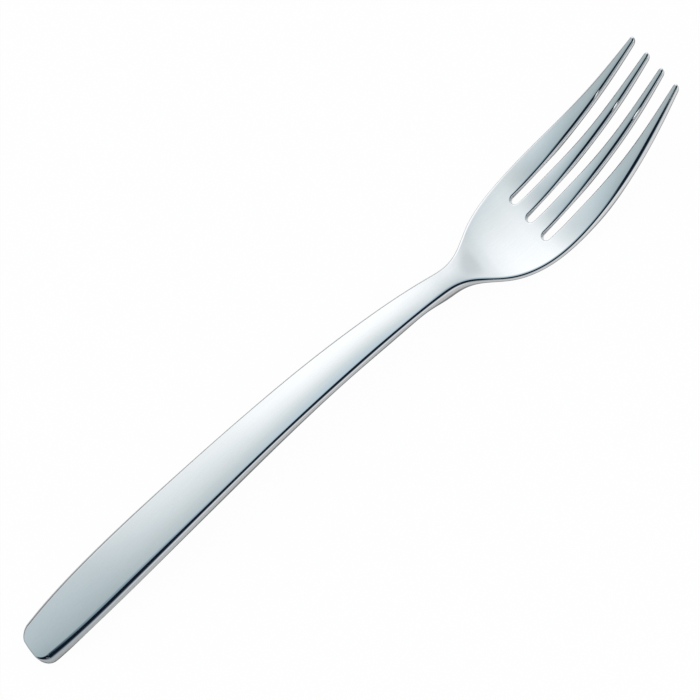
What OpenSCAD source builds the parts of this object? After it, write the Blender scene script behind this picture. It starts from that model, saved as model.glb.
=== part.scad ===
// Dessert fork of polished stainless steel, lying with its tines upwards on a table.
// +X runs from the handle's end to the tips, +Y across the fork, +Z up from the table.
// Stations along the fork are measured from the handle's end. Each has a width, a height and a thickness,
// and smooth curves run through them.

/* [Lengths] */
// From the handle's end to the narrowest place of the neck
handle_l = 120; // [112:0.5:135]
// From the narrowest place of the neck to the roots of the gaps
palm_l = 22.5; // [20:0.5:28]
// From the roots of the gaps to the tips
tine_l = 42.5; // [36:0.5:52]
// From the handle's end to its widest place
wide_l = 24; // [16:1:36]
// From the handle's end to its crest
crest_l = 80; // [65:1:90]
// From the shank's section forwards to the neck
shank_l = 13.5; // [9:0.5:18]
// From the neck forwards to where the head starts to flare
flare_l = 5; // [4:0.1:6.5]
// From the neck forwards to the shoulder
shoulder_l = 10.5; // [9:0.5:12]
// From the neck forwards to the cheek
cheek_l = 17.5; // [15:0.5:19]
// From the roots of the gaps forwards to the head's widest place
head_wide_l = 4; // [2:0.5:8]
// From the deepest place of the palm's hollow forwards to the roots of the gaps
hollow_back_l = 2.5; // [1.5:0.5:4]
// From the roots of the gaps forwards to where the hollow of the palm has run out
hollow_fade_l = 15; // [10:0.5:18]

/* [Widths] */
// Width of the handle's end
tail_w = 10.8; // [9:0.1:12]
// Greatest width of the handle
handle_w = 13.3; // [12.2:0.1:16]
// Width at the crest
crest_w = 10; // [8.8:0.1:11.5]
// Width of the shank
shank_w = 7.8; // [7.2:0.1:8.6]
// Least width of the neck
neck_w = 6.1; // [5:0.1:7]
// Width where the head starts to flare
flare_w = 8.1; // [7.2:0.1:9.5]
// Width at the shoulder
shoulder_w = 15.6; // [12:0.1:18]
// Width at the cheek
cheek_w = 22.3; // [19:0.1:24]
// Greatest width of the head
head_w = 25; // [24.1:0.1:28]
// Width across the outer tines, halfway along them
reach_w = 22.6; // [20:0.1:24]

/* [Heights of the top edges] */
// Height at the handle's widest place
wide_h = 6.6; // [5.5:0.1:8]
// Height at the crest
crest_h = 10.6; // [9.5:0.1:13]
// Height at the shank
shank_h = 9.2; // [8:0.1:9.5]
// Height at the neck
neck_h = 6.7; // [5.5:0.1:7.8]
// Height at the shoulder
shoulder_h = 3.7; // [3.3:0.1:4.6]
// Height of the tines, halfway along them
tine_h = 7.6; // [6:0.1:10]
// Height of the tips
tip_h = 18.8; // [14:0.1:22]

/* [Thicknesses at the edges] */
// Thickness of the handle's end
tail_t = 2.9; // [2.2:0.1:3.4]
// Thickness at the handle's widest place
wide_t = 2.2; // [2:0.1:3.2]
// Thickness at the crest
crest_t = 2.3; // [2:0.1:3.2]
// Thickness of the shank
shank_t = 2.2; // [1.9:0.1:3]
// Thickness of the neck
neck_t = 2.8; // [2.2:0.1:3.6]
// Thickness where the head starts to flare
flare_t = 2.4; // [2:0.1:3.2]
// Thickness of the shoulder
shoulder_t = 1.8; // [1.5:0.1:2.4]
// Thickness of the palm
palm_t = 1.5; // [1.3:0.1:2.2]
// Thickness of the tines, halfway along them
tine_t = 1.75; // [1.3:0.05:2.2]
// Thickness of the tips
tip_t = 1.3; // [0.9:0.05:1.6]

/* [Faces and edges] */
// Rise of the handle's top face towards its middle line
crown_h = 0.35; // [0.1:0.05:0.6]
// Drop of the handle's under face towards its middle line
under_d = 0.3; // [0.1:0.05:0.6]
// Depth of the palm's hollow
hollow_d = 0.6; // [0.3:0.05:1]
// Drop of the palm's under face towards its middle line
belly_d = 1.3; // [0.9:0.1:1.8]
// Corner radius of the handle's end, seen from above
tail_corner_r = 2.8; // [1:0.1:3.6]
// Edge radius of the handle's top face
edge_r = 0.9; // [0.3:0.05:1]
// Edge radius of the handle's under face
under_edge_r = 0.5; // [0.2:0.05:0.8]
// Edge radius of the head's top face
head_edge_r = 0.5; // [0.2:0.05:0.7]
// Edge radius of the head's under face
head_under_r = 0.3; // [0.15:0.05:0.5]
// Depth of the flat that the palm rests on
rest_cut = 0.06; // [0.03:0.01:0.15]

/* [Gaps and tips] */
// Width of a gap at its root
gap_w = 2.1; // [1.7:0.1:2.8]
// Width of a gap halfway along the tines
gap_mid_w = 3.2; // [2.9:0.05:3.6]
// Spacing of the gaps at their roots
root_pitch = 5.95; // [5.4:0.05:6.6]
// Spacing of the tips
tip_pitch = 5.3; // [4.6:0.05:6]
// Width of a tip
tip_w = 1.1; // [0.9:0.05:1.8]
// Length over which a tip is rounded
tip_round_l = 0.9; // [0.4:0.05:1.2]

/* [Borders of the neck] */
// From the neck's start forwards to its narrowest place
neck_back_l = 6.5; // [4:0.5:9]
// From the neck's narrowest place forwards to its end
neck_front_l = 7.5; // [5:0.5:9]

/* [Hidden] */
TINES = 4;

STEEL = "#c3cbd0";
// Greatest spacing of the sections along the handle, the head and the tines
HANDLE_STEP = 3.2;
HEAD_STEP = 1.2;
TINE_STEP = 2.4;
// Steps across a face, and round an edge or a corner
FACE_STEPS = 12;
TINE_FACE_STEPS = 3;
EDGE_STEPS = 3;
CORNER_STEPS = 8;
ROOT_STEPS = 6;
TIP_STEPS = 4;
// How far round a tip is drawn before its small flat end, in degrees
TIP_TURN = 72;
// Share of the depth of the hollow and of the belly that the shoulder has
SHOULDER_SHARE = 0.65;
// Share of the thickness or width that one edge radius may take
EDGE_LIMIT = 0.42;
// Radius left on a tine's gap side where it leaves the palm, and the length over which it grows
ROOT_EDGE_R = 0.06;
ROOT_EDGE_L = 4;

neck_u = handle_l;
root_u = handle_l + palm_l;
fork_l = root_u + tine_l;
shank_u = neck_u - shank_l;
flare_u = neck_u + flare_l;
shoulder_u = neck_u + shoulder_l;
cheek_u = neck_u + cheek_l;
head_wide_u = root_u + head_wide_l;
mid_tine_u = root_u + tine_l / 2;
// The palm's lowest place is where its hollow and its belly are deepest
hollow_u = root_u - hollow_back_l;
// Centres of the gaps' round roots
round_root_u = root_u + gap_w / 2;
gap_tip_w = tip_pitch - tip_w;
// The handle's end and the palm both touch the table
tail_h = tail_t + under_d;
palm_h = palm_t + belly_d - rest_cut;

WIDTHS = [[0, tail_w], [wide_l, handle_w], [crest_l, crest_w], [shank_u, shank_w], [neck_u, neck_w],
    [flare_u, flare_w], [shoulder_u, shoulder_w], [cheek_u, cheek_w], [head_wide_u, head_w],
    [mid_tine_u, reach_w], [fork_l, (TINES - 1) * tip_pitch + tip_w]];
HEIGHTS = [[0, tail_h], [wide_l, wide_h], [crest_l, crest_h], [shank_u, shank_h], [neck_u, neck_h],
    [shoulder_u, shoulder_h], [hollow_u, palm_h], [mid_tine_u, tine_h], [fork_l, tip_h]];
THICKNESSES = [[0, tail_t], [wide_l, wide_t], [crest_l, crest_t], [shank_u, shank_t], [neck_u, neck_t],
    [flare_u, flare_t], [shoulder_u, shoulder_t], [hollow_u, palm_t], [mid_tine_u, tine_t],
    [fork_l, tip_t]];
BOWS = [[0, crown_h], [shank_u, crown_h], [neck_u, crown_h / 2], [flare_u, 0],
    [shoulder_u, -hollow_d * SHOULDER_SHARE], [hollow_u, -hollow_d], [root_u + hollow_fade_l, 0],
    [fork_l, 0]];
UNDER_BOWS = [[0, -under_d], [neck_u, -under_d], [shoulder_u, -belly_d * SHOULDER_SHARE],
    [hollow_u, -belly_d], [root_u + hollow_fade_l, 0], [fork_l, 0]];
TOP_RADII = [[0, edge_r], [neck_u, edge_r], [hollow_u, head_edge_r], [fork_l, head_edge_r]];
UNDER_RADII = [[0, under_edge_r], [neck_u, under_edge_r], [hollow_u, head_under_r], [fork_l, head_under_r]];
GAP_WIDTHS = [[round_root_u, gap_w], [mid_tine_u, gap_mid_w], [fork_l, gap_tip_w]];
PITCHES = [[root_u, root_pitch], [fork_l, tip_pitch]];

// Smooth curve through stations [u, value], level at each peak and dip
function rise(p, i) = (p[i + 1][1] - p[i][1]) / (p[i + 1][0] - p[i][0]);
function slope(p, i) =
    i == 0 ? rise(p, 0) :
    i == len(p) - 1 ? rise(p, i - 1) :
    rise(p, i - 1) * rise(p, i) <= 0 ? 0 :
    2 * rise(p, i - 1) * rise(p, i) / (rise(p, i - 1) + rise(p, i));
function span(p, u) =
    let (later = [for (i = [0 : len(p) - 2]) if (u <= p[i + 1][0]) i])
    len(later) > 0 ? later[0] : len(p) - 2;
function curve(p, u) =
    let (
        i = span(p, u),
        step = p[i + 1][0] - p[i][0],
        t = (u - p[i][0]) / step
    )
    p[i][1] * (1 + 2 * t) * pow(1 - t, 2)
    + p[i + 1][1] * (3 - 2 * t) * t * t
    + step * slope(p, i) * t * pow(1 - t, 2)
    + step * slope(p, i + 1) * t * t * (t - 1);

// How far a quarter round of radius r, which starts at u = 0, still lies inside its full size
function round_drop(u, r) = u >= r ? 0 : r - sqrt(r * r - pow(r - u, 2));

// Half width of the outline, with the handle's rounded corners
function full_half_w(u) = curve(WIDTHS, u) / 2;
function half_w(u) = full_half_w(u) - round_drop(u, tail_corner_r);

// Heights of the top and under faces at the place (u, y). The table flattens the under face where it rests
function bend(u, y) = 1 - pow(y / full_half_w(u), 2);
function top_z(u, y) = curve(HEIGHTS, u) + curve(BOWS, u) * bend(u, y) - round_drop(u, edge_r);
function under_z(u, y) =
    max(0, curve(HEIGHTS, u) - curve(THICKNESSES, u) + curve(UNDER_BOWS, u) * bend(u, y)
    + round_drop(u, under_edge_r));

// Quarter round in the plane across the fork, from one angle to another
function edge_arc(u, y, z, r, from, to) =
    [for (i = [0 : EDGE_STEPS])
        let (angle = from + (to - from) * i / EDGE_STEPS)
        [u - fork_l / 2, y + r * cos(angle), z + r * sin(angle)]];

// Section between the sides low_y and high_y, with the top radii low_r and high_r:
// along the top face from low_y to high_y, then back along the under face
function section(u, low_y, high_y, low_r, high_r, steps) =
    let (
        limit = EDGE_LIMIT * min(high_y - low_y, curve(THICKNESSES, u)),
        a = min(low_r, limit),
        b = min(high_r, limit),
        c = min(curve(UNDER_RADII, u), limit),
        top_ys = [for (i = [1 : steps - 1]) low_y + a + (high_y - b - low_y - a) * i / steps],
        under_ys = [for (i = [1 : steps - 1]) high_y - c - (high_y - low_y - 2 * c) * i / steps]
    )
    concat(
        edge_arc(u, low_y + a, top_z(u, low_y + a) - a, a, 180, 90),
        [for (y = top_ys) [u - fork_l / 2, y, top_z(u, y)]],
        edge_arc(u, high_y - b, top_z(u, high_y - b) - b, b, 90, 0),
        edge_arc(u, high_y - c, under_z(u, high_y - c) + c, c, 0, -90),
        [for (y = under_ys) [u - fork_l / 2, y, under_z(u, y)]],
        edge_arc(u, low_y + c, under_z(u, low_y + c) + c, c, -90, -180)
    );
function whole_section(u) =
    let (r = curve(TOP_RADII, u)) section(u, -half_w(u), half_w(u), r, r, FACE_STEPS);

// Evenly spaced stations from a to b, no further apart than step
function stations(a, b, step) =
    let (count = ceil((b - a) / step)) [for (i = [0 : count]) a + (b - a) * i / count];

// Solid through a row of sections that all have the same number of points
module loft(sections) {
    n = len(sections[0]);
    last = len(sections) - 1;
    sides = [for (i = [0 : last - 1], j = [0 : n - 1])
        let (a = i * n + j, b = i * n + (j + 1) % n)
        each [[a, b, b + n], [a, b + n, a + n]]];
    start_face = [for (j = [n - 1 : -1 : 0]) j];
    end_face = [for (j = [0 : n - 1]) last * n + j];
    polyhedron([for (s = sections) each s], concat(sides, [start_face, end_face]), convexity = 6);
}

module handle() {
    corner_us = [for (i = [0 : CORNER_STEPS - 1]) tail_corner_r * (1 - cos(90 * i / CORNER_STEPS))];
    us = concat(corner_us, stations(tail_corner_r, neck_u - neck_back_l, HANDLE_STEP));
    color(STEEL) loft([for (u = us) whole_section(u)]);
}

module neck() {
    us = stations(neck_u - neck_back_l, neck_u + neck_front_l, HEAD_STEP);
    color(STEEL) loft([for (u = us) whole_section(u)]);
}

module palm() {
    us = stations(neck_u + neck_front_l, root_u, HEAD_STEP);
    color(STEEL) loft([for (u = us) whole_section(u)]);
}

// Half width of a gap, which starts as a half round at its root
function gap_half_w(u) =
    u < round_root_u
    ? sqrt(max(0, pow(gap_w / 2, 2) - pow(round_root_u - u, 2)))
    : curve(GAP_WIDTHS, u) / 2;
// Sides of tine i at u: the middle lines of the gaps beside it, less half a gap, or the outline
function gap_side(u, line, side) = line * curve(PITCHES, u) + side * gap_half_w(u);
function low_side(u, i) = i == 1 ? -half_w(u) : gap_side(u, i - 1 - TINES / 2, 1);
function high_side(u, i) = i == TINES ? half_w(u) : gap_side(u, i - TINES / 2, -1);
function gap_edge_r(u) =
    let (grown = min(1, (u - root_u) / ROOT_EDGE_L))
    ROOT_EDGE_R + (curve(TOP_RADII, u) - ROOT_EDGE_R) * grown;

function tine_section(u, i) =
    let (r = curve(TOP_RADII, u), g = gap_edge_r(u))
    section(u, low_side(u, i), high_side(u, i), i == 1 ? r : g, i == TINES ? r : g, TINE_FACE_STEPS);

// The same section drawn in towards its middle by a share, and moved to the station u
function shrunk(ring, share, u) =
    let (middle = [for (k = [1 : 2]) (min([for (p = ring) p[k]]) + max([for (p = ring) p[k]])) / 2])
    [for (p = ring) [
        u - fork_l / 2,
        middle[0] + share * (p[1] - middle[0]),
        middle[1] + share * (p[2] - middle[1])]];

module tine(i) {
    round_u = fork_l - tip_round_l;
    root_us = [for (k = [0 : ROOT_STEPS - 1]) round_root_u - gap_w / 2 * cos(90 * k / ROOT_STEPS)];
    us = concat(root_us, stations(round_root_u, round_u, TINE_STEP));
    tip = [for (k = [1 : TIP_STEPS])
        let (
            turn = TIP_TURN * k / TIP_STEPS,
            u = round_u + tip_round_l * sin(turn) / sin(TIP_TURN)
        )
        shrunk(tine_section(u, i), cos(turn), u)];
    color(STEEL) loft(concat([for (u = us) tine_section(u, i)], tip));
}

handle();
neck();
palm();
for (i = [1 : TINES])
    tine(i);
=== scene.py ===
"""Dessert fork of polished stainless steel, lying on a white table with its tines upwards.

Lengths of the fork are millimetres here, and u is the distance from the handle's end along the fork. Every
face of the fork is a height over the plan (u, y), so a piece is a row of rings: across the top face from one
side to the other, and back across the under face. Shaders, table and camera use metres.
"""

import math

import bpy
import numpy as np
from mathutils import Matrix, Vector


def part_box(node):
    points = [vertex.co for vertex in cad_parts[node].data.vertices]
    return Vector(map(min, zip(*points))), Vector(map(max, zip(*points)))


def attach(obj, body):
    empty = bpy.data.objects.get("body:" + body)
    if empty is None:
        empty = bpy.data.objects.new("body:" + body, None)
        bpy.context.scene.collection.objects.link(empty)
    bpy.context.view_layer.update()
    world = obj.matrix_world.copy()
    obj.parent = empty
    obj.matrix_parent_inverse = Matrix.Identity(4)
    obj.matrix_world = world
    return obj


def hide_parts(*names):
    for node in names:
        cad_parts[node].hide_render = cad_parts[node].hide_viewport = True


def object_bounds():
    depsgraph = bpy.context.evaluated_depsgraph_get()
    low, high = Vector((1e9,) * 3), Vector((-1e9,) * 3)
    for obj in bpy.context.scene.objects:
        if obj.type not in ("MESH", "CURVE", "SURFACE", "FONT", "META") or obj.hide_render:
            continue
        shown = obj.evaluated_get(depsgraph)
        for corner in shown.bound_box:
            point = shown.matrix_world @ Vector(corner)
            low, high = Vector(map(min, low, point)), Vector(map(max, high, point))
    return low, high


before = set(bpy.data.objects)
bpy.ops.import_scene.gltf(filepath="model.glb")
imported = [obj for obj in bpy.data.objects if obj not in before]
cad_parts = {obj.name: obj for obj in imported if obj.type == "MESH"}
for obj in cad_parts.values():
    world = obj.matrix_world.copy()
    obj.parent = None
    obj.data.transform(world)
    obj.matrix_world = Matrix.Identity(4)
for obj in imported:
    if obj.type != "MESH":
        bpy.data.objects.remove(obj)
cad_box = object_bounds()

MM = 0.001
TINES = 4

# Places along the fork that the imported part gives
TAIL_X = cad_box[0].x / MM
FORK_L = (cad_box[1].x - cad_box[0].x) / MM
NECK_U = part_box("neck")[0].x / MM - TAIL_X
PALM_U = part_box("palm")[0].x / MM - TAIL_X
ROOT_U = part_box("tine_1")[0].x / MM - TAIL_X

# Stations (u, size) that smooth curves run through
WIDTHS = [(0, 10.57), (5, 11.7), (12, 12.75), (24, 13.27), (45, 12.32), (70, 10.65), (95, 9.0), (110, 7.36),
          (118.5, 6.35), (122, 6.36), (126, 9.2), (131, 16.33), (137, 21.94), (146, 24.82), (156, 24.45),
          (170, 21.5), (185, 17.0)]
EDGE_HEIGHTS = [(0, 3.08), (24, 6.57), (50, 9.07), (80, 10.62), (104, 9.52), (118.5, 7.04), (130, 3.77),
                (140, 2.74), (152, 4.25), (168, 9.3), (185, 18.5)]
THICKNESSES = [(0, 2.85), (4, 2.62), (10, 2.0), (24, 1.87), (45, 2.3), (60, 2.52), (80, 2.27), (93, 2.12),
               (102, 2.33), (109, 2.2), (114, 2.2), (119, 3.05), (124, 2.4), (130, 1.8), (138, 1.5),
               (145, 1.52), (151, 1.75), (157, 2.1), (164, 1.95), (178, 1.75), (185, 1.35)]
# Rise of each face from its edges to its middle line, which is a fall where the face is hollow
TOP_BOWS = [(0, 0.22), (18, 0.29), (40, 0.36), (60, 0.37), (105, 0.35), (118.5, 0.2), (122, 0.22),
            (124.5, 0.22), (126.5, 0.06), (128.5, -0.19), (131, -0.4), (139, -0.55), (146, -0.45),
            (154, -0.15), (162, 0), (185, 0)]
UNDER_BOWS = [(0, -0.3), (60, -0.3), (105, -0.3), (118.5, -0.3), (124, -0.5), (130, -0.95), (138, -1.3),
              (145, -0.3), (151, 0.3), (158, 0.35), (166, 0.2), (185, 0)]
# Rounding of the top face along the outline and along the gaps, and of the under face
TOP_EDGE_RADII = [(0, 1.6), (10, 1.6), (27, 1.57), (50, 1.08), (75, 0.9), (100, 0.95), (110, 0.9), (118.5, 1.0),
                  (130, 0.82), (145, 0.72), (156, 0.74), (165, 0.93), (174, 0.95), (181, 0.65), (185, 0.45)]
GAP_EDGE_RADII = [(136, 0.35), (143.5, 0.4), (147, 0.56), (152, 0.63), (160, 0.7), (175, 0.62), (185, 0.45)]
UNDER_EDGE_RADII = [(0, 1.1), (3, 0.65), (7, 0.3), (27, 0.27), (45, 0.55), (60, 0.75), (118.5, 0.8),
                    (132, 0.5), (150, 0.6), (175, 0.6), (185, 0.45)]
# Half width and spacing of the gaps, and rise of each tine's own top face to its middle
GAP_HALVES = [(143.55, 1.05), (150, 1.04), (155, 1.18), (160, 1.34), (165, 1.46), (175, 1.64), (185, 1.88)]
GAP_PITCHES = [(142.5, 5.95), (150, 5.91), (160, 5.79), (170, 5.65), (185, 5.22)]
TINE_CROWNS = [(142.5, 0), (144.5, 0.01), (149, 0.07), (160, 0.13), (174, 0.19), (185, 0.17)]

# Rounded corners of the handle's end, the radius of its top edge and how late the corners reach it, and
# the bow of the end
TAIL_CORNER_R = 2.9
TAIL_EDGE_R = 0.3
TAIL_EDGE_POWER = 1.4
TAIL_BOW = 0.5
TAIL_BOW_L = 9
# Half-round roots of the gaps, and rounded tips of the tines
GAP_ROOT_R = 1.05
TIP_L = 1.0
# Painted shade along the under edges: a thin dark line that stands in for their dark reflections of the shaded
# table. Its width in plan, how far from the gaps' roots it starts and has grown, and how far in from the
# outline it still counts as the outline's
PAINTED_SHADE_W = 0.25
PAINTED_SHADE_U = (8, 18)
PAINTED_SHADE_SIDE_W = 2

# Mesh steps round an edge and across a lane, and the most of a lane that one edge takes
EDGE_STEPS = 8
LANE_STEPS = 14
EDGE_SHARE = 0.42
# Mesh steps along the handle's corners, the handle, the neck, the palm and the edges before the gaps' roots,
# whose close rings start this many edge radii before the roots
CORNER_STEPS = 24
HANDLE_STEPS = 140
NECK_STEPS = 56
PALM_STEPS = 49
ROOT_EDGE_STEPS = 12
ROOT_EDGE_REACH = 1.2
# Mesh steps along the gaps' round roots, the tines and their tips, and the turn that the last ring stops at
ROOT_STEPS = 16
TINE_STEPS = 119
TIP_STEPS = 10
TIP_TURN = math.radians(84)
QUARTER = math.pi / 2
# Small step that slopes are measured over
SMALL = 0.002


def curve(stations, u):
    """Cubic curve through the stations with an even bend: the second derivatives at the stations solve one
    linear system, with none at either end."""
    at, size = np.array(stations, float).T
    step = np.diff(at)
    grade = np.diff(size) / step
    inner = np.arange(1, len(at) - 1)
    system = np.diag(np.r_[1, 2 * (step[1:] + step[:-1]), 1])
    system[inner, inner - 1] = step[:-1]
    system[inner, inner + 1] = step[1:]
    bend = np.linalg.solve(system, np.r_[0, 6 * np.diff(grade), 0])
    i = np.clip(np.searchsorted(at, u) - 1, 0, len(step) - 1)
    t = u - at[i]
    slope = grade[i] - step[i] * (2 * bend[i] + bend[i + 1]) / 6
    return size[i] + t * (slope + t * (bend[i] / 2 + t * (bend[i + 1] - bend[i]) / (6 * step[i])))


def rounding(d, r):
    """How far a quarter round of radius r lies inside its full size at the distance d from its edge."""
    inside = np.clip(r - d, 0, r)
    return r - np.sqrt(r * r - inside * inside)


def full_half(u):
    """Half width of the fork without the rounded corners of the handle's end."""
    return curve(WIDTHS, u) / 2


def half_width(u):
    """Half width of the fork."""
    return full_half(u) - rounding(u, TAIL_CORNER_R)


def gap_half(u):
    """Half width of a gap: none before the root, then a half round, then the gap's own curve."""
    centre = ROOT_U + GAP_ROOT_R
    half_round = np.sqrt(np.maximum(0, GAP_ROOT_R ** 2 - (centre - u) ** 2))
    return np.where(u < ROOT_U, 0, np.where(u < centre, half_round, curve(GAP_HALVES, u)))


def gap_pitch(u):
    """Spacing of the gaps' middle lines, which run on through the palm and handle in step with the width."""
    narrowed = GAP_PITCHES[0][1] * half_width(u) / full_half(ROOT_U)
    return np.where(u < ROOT_U, narrowed, curve(GAP_PITCHES, u))


def lane_sides(u, lane):
    """Both sides of a lane, which is the fork's width between two gaps and ends in a tine's elliptic tip."""
    low = -half_width(u) if lane == 0 else (lane - TINES / 2) * gap_pitch(u) + gap_half(u)
    high = half_width(u) if lane == TINES - 1 else (lane + 1 - TINES / 2) * gap_pitch(u) - gap_half(u)
    along_tip = np.clip((u - FORK_L + TIP_L) / TIP_L, 0, 1)
    middle, half = (low + high) / 2, (high - low) / 2 * np.sqrt(1 - along_tip ** 2)
    return middle - half, middle + half


def from_corner(u, y):
    """Place of (u, y) from the centre of the handle's nearer round corner: square to the side, and to the
    end."""
    slant = (full_half(u + SMALL) - full_half(u - SMALL)) / (2 * SMALL)
    return (np.abs(y) - full_half(u)) / np.sqrt(1 + slant ** 2) + TAIL_CORNER_R, TAIL_CORNER_R - u


def outline_distance(u, y):
    """Distance in plan from (u, y) to the outline with the round corners of the handle's end."""
    out, back = from_corner(u, y)
    past_centre = np.hypot(np.maximum(out, 0), np.maximum(back, 0))
    return TAIL_CORNER_R - past_centre - np.minimum(np.maximum(out, back), 0)


def gap_distance(u, y):
    """Distance in plan from (u, y) to the nearest gap with its round root."""
    centre = ROOT_U + GAP_ROOT_R
    pitch = gap_pitch(np.maximum(u, ROOT_U))
    off = np.abs(y - np.clip(np.round(y / pitch), -1, 1) * pitch)
    from_root = np.hypot(u - centre, off) - GAP_ROOT_R
    return np.where(u < centre, from_root, off - gap_half(np.maximum(u, centre)))


def edge_distance(u, y, lane):
    """Distance in plan from (u, y) to the nearest edge: the outline, the gaps, and the tip of the lane's
    tine."""
    d = np.minimum(outline_distance(u, y), gap_distance(u, y))
    if lane is not None:
        tip_start = FORK_L - TIP_L
        low, high = lane_sides(np.minimum(u, tip_start), lane)
        half = (high - low) / 2
        out = np.hypot(np.maximum(u - tip_start, 0) / TIP_L, (y - low - half) / half)
        d = np.where(u > tip_start, (1 - out) * np.minimum(half, TIP_L), d)
    return np.maximum(d, 0)


def top_edge_radius(u, y):
    """Radius of the top face's edge nearest to (u, y): along a gap, or along the outline, where it shrinks
    round the corners of the handle's end by a power of the turn."""
    out, back = from_corner(u, y)
    end_share = np.arctan2(np.maximum(back, 0), np.maximum(out, 0)) / QUARTER
    side = curve(TOP_EDGE_RADII, u)
    side = side + (TAIL_EDGE_R - side) * end_share ** TAIL_EDGE_POWER
    by_gap = curve(GAP_EDGE_RADII, np.maximum(u, GAP_EDGE_RADII[0][0]))
    return np.where(gap_distance(u, y) < outline_distance(u, y), by_gap, side)


def tine_crown(u, y, lane):
    """Rise of a tine's own top face towards its middle, which grows from the root forwards."""
    if lane is None:
        return 0
    low, high = lane_sides(np.minimum(u, FORK_L - TIP_L), lane)
    across = np.clip((2 * y - low - high) / (high - low), -1, 1)
    return curve(TINE_CROWNS, np.maximum(u, ROOT_U)) * (1 - across ** 2)


def face(u, y, lane, top):
    """Points of the top or under face over the plan (u, y): the height of the edges, a parabola across and
    a quarter round along every edge. The table flattens the under face where it rests."""
    d = edge_distance(u, y, lane)
    across = y / full_half(u)
    z = curve(EDGE_HEIGHTS, u)
    if top:
        z = z + curve(TOP_BOWS, u) * (1 - across ** 2) + tine_crown(u, y, lane)
        z = z - rounding(d, top_edge_radius(u, y))
    else:
        z = z - curve(THICKNESSES, u) + curve(UNDER_BOWS, u) * (1 - across ** 2)
        z = np.maximum(z + rounding(d, curve(UNDER_EDGE_RADII, u)), 0)
    x = TAIL_X + u + TAIL_BOW * across ** 2 * np.clip(1 - u / TAIL_BOW_L, 0, 1) ** 2
    return np.stack(np.broadcast_arrays(x, y, z), -1)


def face_normals(u, y, lane, top):
    """Outward directions of a face, square to its slopes along and across the fork."""
    along = face(u + SMALL, y, lane, top) - face(u - SMALL, y, lane, top)
    across = face(u, y + SMALL, lane, top) - face(u, y - SMALL, lane, top)
    square = np.cross(along, across) * (1 if top else -1)
    return square / np.linalg.norm(square, axis=-1, keepdims=True)


def lane_columns(u, lane):
    """Places across a lane: close together round both edges, and even between them."""
    low, high = lane_sides(u, lane)
    r = np.minimum(curve(TOP_EDGE_RADII, u), EDGE_SHARE * (high - low))
    edge = r * (1 - np.cos(np.linspace(0, QUARTER, EDGE_STEPS + 1)))
    middle = low + r + (high - low - 2 * r) * np.linspace(0, 1, LANE_STEPS + 1)[1:-1]
    return np.concatenate([low + edge, middle, high - edge[:, ::-1]], -1)


def under_edge_painted_shade(u, y, distance):
    """Share of the painted shade, a dark line painted along the under edges: full at an edge, none a little
    further in, and none on the gaps' sides near their roots."""
    grown = np.clip((u - ROOT_U - PAINTED_SHADE_U[0]) / (PAINTED_SHADE_U[1] - PAINTED_SHADE_U[0]), 0, 1)
    outer = np.clip(PAINTED_SHADE_SIDE_W - (half_width(u) - np.abs(y)), 0, 1)
    return np.clip(1 - distance / PAINTED_SHADE_W, 0, 1) * np.maximum(grown, outer)


def rings(u, lane):
    """Rings at the stations u, over one tine's lane or over all four, with their normals, edge distances and
    the shares of the painted shade along the under edges."""
    u = np.asarray(u, float)[:, None]
    if lane is None:
        lanes = [lane_columns(u, i) for i in range(TINES)]
        y = np.concatenate([lanes[0]] + [columns[:, 1:] for columns in lanes[1:]], -1)
    else:
        y = lane_columns(u, lane)
    back = y[:, ::-1]
    points = np.concatenate([face(u, y, lane, True), face(u, back, lane, False)], 1)
    normals = np.concatenate([face_normals(u, y, lane, True), face_normals(u, back, lane, False)], 1)
    distance = edge_distance(u, y, lane)
    # Painted shade along the under edges, kept on the under face only
    painted_shade_share = np.concatenate([np.zeros_like(distance), under_edge_painted_shade(u, back, distance[:, ::-1])], 1)
    return points, normals, np.concatenate([distance, distance[:, ::-1]], 1), painted_shade_share


def polished_piece(name, node, stations, lane, steel):
    """Closed skin through the rings at the stations: quads join neighbouring rings, and a strip between its
    top half and under half closes the first and the last ring."""
    points, normals, distance, painted_shade_share = rings(stations, lane)
    index = np.arange(points.shape[0] * points.shape[1]).reshape(points.shape[:2])
    after = np.roll(index, -1, axis=1)
    sides = np.stack([index[:-1], index[1:], after[1:], after[:-1]], -1).reshape(-1, 4)
    half = index.shape[1] // 2
    top, under = index[:, :half], index[:, half:][:, ::-1]
    strips = np.stack([top[:, :-1], top[:, 1:], under[:, 1:], under[:, :-1]], -1)
    faces = np.concatenate([sides, strips[0], strips[-1][:, ::-1]])
    mesh = bpy.data.meshes.new(name)
    mesh.from_pydata((points.reshape(-1, 3) * MM).tolist(), [], faces.tolist())
    mesh.polygons.foreach_set("use_smooth", np.ones(len(faces), bool))
    mesh.normals_split_custom_set(normals.reshape(-1, 3)[faces.ravel()].tolist())
    # The painted shade along the under edges goes onto the mesh as an attribute
    for layer, values in (("edge_distance", distance), ("under_edge_painted_shade", painted_shade_share)):
        made = mesh.attributes.new(layer, "FLOAT", "POINT")
        made.data.foreach_set("value", values.ravel().astype(np.float32))
    mesh.materials.append(steel)
    piece = bpy.data.objects.new(name, mesh)
    bpy.context.scene.collection.objects.link(piece)
    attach(piece, "root")
    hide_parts(node)


def handle_stations():
    """Stations of the handle, close together round the corners of its end."""
    corner = TAIL_CORNER_R * (1 - np.cos(np.linspace(0, QUARTER, CORNER_STEPS + 1)))
    return np.r_[corner, np.linspace(TAIL_CORNER_R, NECK_U, HANDLE_STEPS + 1)[1:]]


def neck_stations():
    """Stations of the neck, evenly spaced."""
    return np.linspace(NECK_U, PALM_U, NECK_STEPS + 1)


def palm_stations():
    """Stations of the palm, close together where the edges of the gaps' roots round over."""
    reach = ROOT_EDGE_REACH * float(curve(TOP_EDGE_RADII, ROOT_U))
    close = ROOT_U - reach + reach * np.sin(np.linspace(0, QUARTER, ROOT_EDGE_STEPS + 1))
    return np.r_[np.linspace(PALM_U, ROOT_U - reach, PALM_STEPS + 1), close[1:]]


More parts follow.
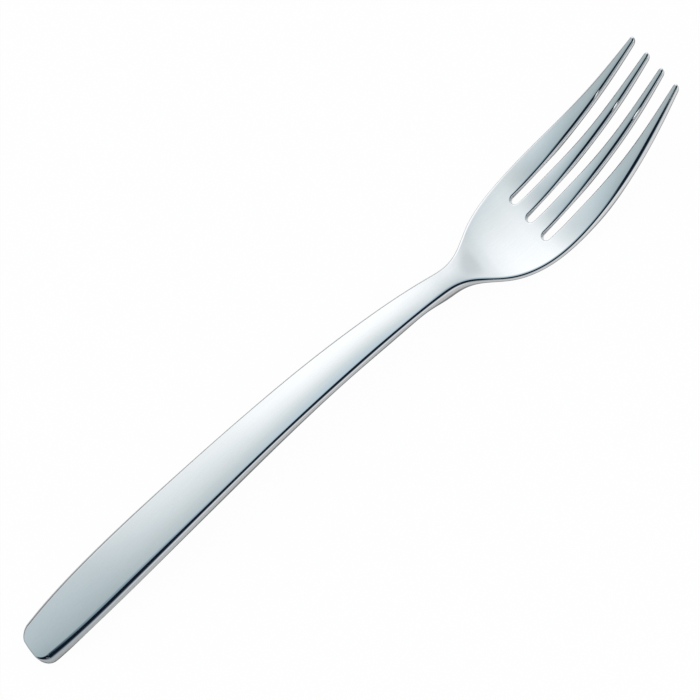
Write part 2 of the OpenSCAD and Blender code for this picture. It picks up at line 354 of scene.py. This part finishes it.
def tine_stations():
    """Stations of a tine, close together round its roots and its tip."""
    root = ROOT_U + GAP_ROOT_R * (1 - np.cos(np.linspace(0, QUARTER, ROOT_STEPS + 1)))
    tip = FORK_L - TIP_L + TIP_L * np.sin(np.linspace(0, TIP_TURN, TIP_STEPS + 1))
    return np.r_[root, np.linspace(root[-1], tip[0], TINE_STEPS + 1)[1:-1], tip]


def add_node(tree, kind, inputs=None, **settings):
    """New shader node with its settings, and its inputs set to values or linked from sockets."""
    made = tree.nodes.new(kind)
    for name, value in settings.items():
        setattr(made, name, value)
    for socket, value in (inputs or {}).items():
        if isinstance(value, bpy.types.NodeSocket):
            tree.links.new(value, made.inputs[socket])
        else:
            made.inputs[socket].default_value = value
    return made


def ramp(tree, value, stops):
    """Colour ramp with stops (place, colour)."""
    made = add_node(tree, "ShaderNodeValToRGB", {"Fac": value})
    elements = made.color_ramp.elements
    while len(elements) < len(stops):
        elements.new(0.5)
    for element, (place, colour) in zip(elements, stops):
        element.position = place
        element.color = (*colour, 1)
    return made.outputs["Color"]


def combine(tree, operation, *values):
    """Sum, product or other result of the values."""
    return add_node(tree, "ShaderNodeMath", dict(enumerate(values)), operation=operation).outputs[0]


def spread(tree, value, start, end, low=0, high=1, way="LINEAR"):
    """The value made to run from low at the start to high at the end, and to stay at them beyond."""
    inputs = dict(enumerate((value, start, end, low, high)))
    return add_node(tree, "ShaderNodeMapRange", inputs, interpolation_type=way).outputs[0]


def fade(tree, value, start, end):
    """Smooth step from nought at the start to one at the end."""
    return spread(tree, value, start, end, way="SMOOTHSTEP")


def blend(tree, share, first, second, kind="MIX"):
    """Colour of the first socket or value with the second laid over it by the share."""
    inputs = {0: share, 6: first, 7: second}
    return add_node(tree, "ShaderNodeMix", inputs, data_type="RGBA", blend_type=kind).outputs[2]


def polished_steel():
    """Mirror-polished stainless steel. Fine lines run along the fork, where the buffing wheel went, and broad
    faint smudges lie over them. The tines are painted brighter than the rest, a painted light. The edges are
    worn smoother than the faces, and a thin dark line of painted shade runs along the under edges."""
    material = bpy.data.materials.new("polished_steel")
    material.use_nodes = True
    tree = material.node_tree
    place = add_node(tree, "ShaderNodeTexCoord").outputs["Object"]
    along = add_node(tree, "ShaderNodeSeparateXYZ", {0: place}).outputs["X"]
    edge = add_node(tree, "ShaderNodeAttribute", attribute_name="edge_distance").outputs["Fac"]
    # Share of the painted shade along the under edges
    painted_shade_share = add_node(tree, "ShaderNodeAttribute", attribute_name="under_edge_painted_shade").outputs["Fac"]
    stretched = add_node(tree, "ShaderNodeMapping", {"Vector": place, "Scale": (60, 3200, 3200)}).outputs[0]

    def noise(vector, scale, detail):
        """Soft random pattern over the vector."""
        inputs = {"Vector": vector, "Scale": scale, "Detail": detail}
        return add_node(tree, "ShaderNodeTexNoise", inputs).outputs["Fac"]

    lines, smudges = noise(stretched, 1.0, 3.0), noise(place, 90.0, 2.0)

    line_rough = spread(tree, lines, 0.3, 0.7, 0.0, 0.03)
    smudge_rough = spread(tree, smudges, 0.35, 0.7, 0.03, 0.07)
    wear = spread(tree, edge, 0.0, 1.2, 0.3, 1.0)
    rough = combine(tree, "MULTIPLY", combine(tree, "ADD", line_rough, smudge_rough), wear)

    handle_tone = ramp(tree, lines, [(0.3, (0.77, 0.78, 0.788)), (0.7, (0.792, 0.802, 0.809))])
    # Painted light: the tines' base colour is painted brighter than the handle's, for their brighter
    # reflections
    tine_lines_and_painted_light = ramp(tree, lines, [(0.3, (0.88, 0.885, 0.89)), (0.7, (0.9, 0.905, 0.91))])
    # The painted brightness fades in from the palm towards the tines
    tone = blend(tree, fade(tree, along, 0.05, 0.062), handle_tone, tine_lines_and_painted_light)
    # Painted shade: the base colour darkens to a dark grey along the under edges
    painted_shade_tone = blend(tree, fade(tree, painted_shade_share, 0.3, 0.75), tone, (0.32, 0.325, 0.335, 1))
    bump = add_node(tree, "ShaderNodeBump", {"Height": lines, "Strength": 0.04, "Distance": 0.00002}).outputs[0]

    shader = tree.nodes["Principled BSDF"]
    shader.inputs["Metallic"].default_value = 1
    for socket, value in (("Base Color", painted_shade_tone), ("Roughness", rough), ("Normal", bump)):
        tree.links.new(value, shader.inputs[socket])
    return material


def studio_world():
    """Light tent that the steel mirrors, bright on the far side and paler blue overhead. Its light is an arch
    from the far horizon over the top times a row of panels along the fork. Dark cards stand on the camera's
    side, low on the far side, and beyond the handle's end, where the raised tines mirror one. A slit across
    the tines' direction gives the tines their short bright dashes. Everything else is lit in plain white from
    all round."""
    world = bpy.data.worlds.new("light_tent")
    world.use_nodes = True
    bpy.context.scene.world = world
    tree = world.node_tree
    way = add_node(tree, "ShaderNodeTexCoord").outputs["Generated"]
    parts = add_node(tree, "ShaderNodeSeparateXYZ", {0: way}).outputs
    turn = combine(tree, "DIVIDE", combine(tree, "ARCTAN2", parts["Z"], parts["Y"]), math.pi)
    along = spread(tree, parts["X"], -1, 1)
    tine_direction = (0.885, 0.035, 0.464)
    by_tines = add_node(tree, "ShaderNodeVectorMath", {0: way, 1: tine_direction}, operation="DOT_PRODUCT")
    along_tines = spread(tree, by_tines.outputs["Value"], -1, 1)
    arch = ramp(tree, turn, [
        (0.0, (0.03, 0.04, 0.05)),
        (0.035, (0.05, 0.06, 0.07)),
        (0.06, (1.26, 1.28, 1.29)),
        (0.28, (1.26, 1.28, 1.29)),
        (0.305, (1.2, 1.23, 1.24)),
        (0.335, (1.1, 1.14, 1.16)),
        (0.36, (0.98, 1.03, 1.04)),
        (0.39, (0.8, 0.885, 0.915)),
        (0.42, (0.66, 0.78, 0.85)),
        (0.5, (0.5, 0.64, 0.74)),
        (0.58, (0.42, 0.55, 0.64)),
        (0.88, (0.6, 0.65, 0.68)),
        (0.93, (0.95, 0.97, 0.98)),
    ])
    panels = ramp(tree, along, [
        (0.06, (0.25, 0.3, 0.31)),
        (0.11, (0.3, 0.355, 0.37)),
        (0.16, (0.345, 0.405, 0.42)),
        (0.225, (0.372, 0.436, 0.457)),
        (0.275, (0.435, 0.505, 0.53)),
        (0.325, (0.55, 0.605, 0.625)),
        (0.375, (0.75, 0.78, 0.79)),
        (0.425, (0.93, 0.94, 0.945)),
        (0.475, (1, 1, 1)),
        (0.6, (1, 1, 1)),
        (0.65, (0.955, 0.96, 0.965)),
        (0.69, (0.9, 0.915, 0.925)),
        (0.725, (0.8, 0.825, 0.84)),
        (0.755, (0.75, 0.775, 0.79)),
        (0.79, (0.595, 0.625, 0.645)),
        (0.87, (0.57, 0.6, 0.62)),
        (0.92, (0.96, 0.965, 0.97)),
    ])
    black, white = (0, 0, 0), (1, 1, 1)
    card_colour, slit_colour = (0.005, 0.01, 0.022, 1), (1.3, 1.3, 1.3, 1)

    def patch(over_stops, along_stops, along_from=along):
        """Part of the tent between the stops over the arch and along the fork."""
        return combine(tree, "MULTIPLY", ramp(tree, turn, over_stops), ramp(tree, along_from, along_stops))

    near_card = patch([(0.567, black), (0.592, white), (0.81, white), (0.935, black)],
                      [(0.17, black), (0.22, white), (0.745, white), (0.785, black)])
    tine_card = patch([(0.415, black), (0.45, white), (0.8, white), (0.845, black)],
                      [(0.24, white), (0.29, black)])
    far_card = patch([(0.0, white), (0.06, white), (0.09, black)],
                     [(0.14, black), (0.24, white), (0.33, white), (0.37, black)])
    slit = patch([(0.66, black), (0.68, white), (0.84, white), (0.86, black)],
                 [(0.3125, black), (0.314, white), (0.3205, white), (0.322, black)], along_tines)
    light = blend(tree, 1, arch, panels, "MULTIPLY")
    for card in (near_card, tine_card, far_card):
        light = blend(tree, card, light, card_colour)
    light = blend(tree, slit, light, slit_colour)
    mirrored = add_node(tree, "ShaderNodeLightPath").outputs["Is Glossy Ray"]
    seen = blend(tree, mirrored, (*white, 1), light)
    tree.links.new(seen, tree.nodes["Background"].inputs["Color"])


def white_table():
    """White table that shows the camera nearly its full white over its own shading. Reflections show a share
    of that white, which is more under the head than under the handle, most in strips behind the gaps' roots
    and behind the palm's far side, and little between the strips: these strips and patches are painted light,
    glowing spots of the table that only reflections see."""
    reach, drop = 4.0, 0.00002
    camera_share, camera_boost = 0.94, 0.035
    handle_share, head_share, palm_share = 0.2, 0.25, 0.95
    strip_share, between_strips, half_pitch = 0.85, 0.1, 0.00296
    mesh = bpy.data.meshes.new("table")
    corners = [(-reach, -reach), (reach, -reach), (reach, reach), (-reach, reach)]
    mesh.from_pydata([(x, y, -drop) for x, y in corners], [], [(0, 1, 2, 3)])
    table = bpy.data.objects.new("table", mesh)
    bpy.context.scene.collection.objects.link(table)
    material = bpy.data.materials.new("white_paper")
    material.use_nodes = True
    tree = material.node_tree
    tree.nodes.clear()

    def both(first, second):
        """Product of two shares."""
        return combine(tree, "MULTIPLY", first, second)

    def between(value, rise, fall):
        """One between the rise and the fall, which are smooth steps with a start and an end."""
        return both(fade(tree, value, *rise), fade(tree, value, *fall))

    place = add_node(tree, "ShaderNodeTexCoord").outputs["Object"]
    parts = add_node(tree, "ShaderNodeSeparateXYZ", {0: place}).outputs
    x, y = parts["X"], parts["Y"]
    # Painted light: the table glows in places for reflections only, less near the handle and more under the
    # head
    by_handle = both(fade(tree, x, -0.09, -0.05), handle_share)
    by_head = combine(tree, "MULTIPLY_ADD", fade(tree, x, 0.02, 0.04), head_share, by_handle)
    # Painted light: glowing strips behind the gaps and a glowing patch behind the palm
    by_roots = both(between(x, (0.042, 0.05), (0.082, 0.066)), between(y, (-0.0115, -0.0085), (0.016, 0.012)))
    behind_gap = fade(tree, combine(tree, "WRAP", y, half_pitch, -half_pitch), 0.0003, 0.0011)
    strips = combine(tree, "MULTIPLY_ADD", behind_gap, strip_share, between_strips)
    under_head = add_node(tree, "ShaderNodeMix", {0: by_roots, 2: by_head, 3: strips}).outputs[0]
    behind_palm = both(between(x, (0.024, 0.034), (0.06, 0.05)), fade(tree, y, 0.0055, 0.008))
    painted_glow_in_mirror = combine(tree, "MAXIMUM", under_head, both(behind_palm, palm_share))

    path = add_node(tree, "ShaderNodeLightPath").outputs
    by_camera = path["Is Camera Ray"]
    mirrored = combine(tree, "MAXIMUM", path["Is Glossy Ray"], path["Is Transmission Ray"])
    share = combine(tree, "MAXIMUM", both(mirrored, painted_glow_in_mirror), both(by_camera, camera_share))
    strength = combine(tree, "MULTIPLY_ADD", by_camera, camera_boost, 1.0)
    shaded, white = (0.5, 0.51, 0.515, 1), (0.99, 0.99, 0.99, 1)
    paper = add_node(tree, "ShaderNodeBsdfDiffuse", {"Color": shaded}).outputs[0]
    glow = add_node(tree, "ShaderNodeEmission", {"Color": white, "Strength": strength}).outputs[0]
    mixed = add_node(tree, "ShaderNodeMixShader", {0: share, 1: paper, 2: glow}).outputs[0]
    add_node(tree, "ShaderNodeOutputMaterial", {"Surface": mixed})
    mesh.materials.append(material)


def photo_camera():
    """Long lens that looks down on the fork from its near side, rolled so that the fork lies across the
    frame."""
    azimuth, elevation, roll = math.radians(6), math.radians(60), math.radians(46.1)
    distance, target = 0.8383, Vector((0.00296, 0.00245, 0.006))
    right = Vector((math.cos(azimuth), math.sin(azimuth), 0))
    back = Vector((math.sin(azimuth) * math.cos(elevation), -math.cos(azimuth) * math.cos(elevation),
                   math.sin(elevation)))
    up = back.cross(right)
    camera = bpy.data.objects.new("camera", bpy.data.cameras.new("camera"))
    camera.data.lens = 200
    camera.data.sensor_width = 36
    turned_right = right * math.cos(roll) - up * math.sin(roll)
    turned_up = right * math.sin(roll) + up * math.cos(roll)
    axes = Matrix((turned_right, turned_up, back)).transposed()
    camera.matrix_world = Matrix.Translation(target + back * distance) @ axes.to_4x4()
    bpy.context.scene.collection.objects.link(camera)
    bpy.context.scene.camera = camera


photo_camera()
steel = polished_steel()
polished_piece("polished_handle", "handle", handle_stations(), None, steel)
polished_piece("polished_neck", "neck", neck_stations(), None, steel)
polished_piece("polished_palm", "palm", palm_stations(), None, steel)
for tine in range(TINES):
    polished_piece(f"polished_tine_{tine + 1}", f"tine_{tine + 1}", tine_stations(), tine, steel)
white_table()
studio_world()
bpy.context.scene.view_settings.view_transform = "Standard"
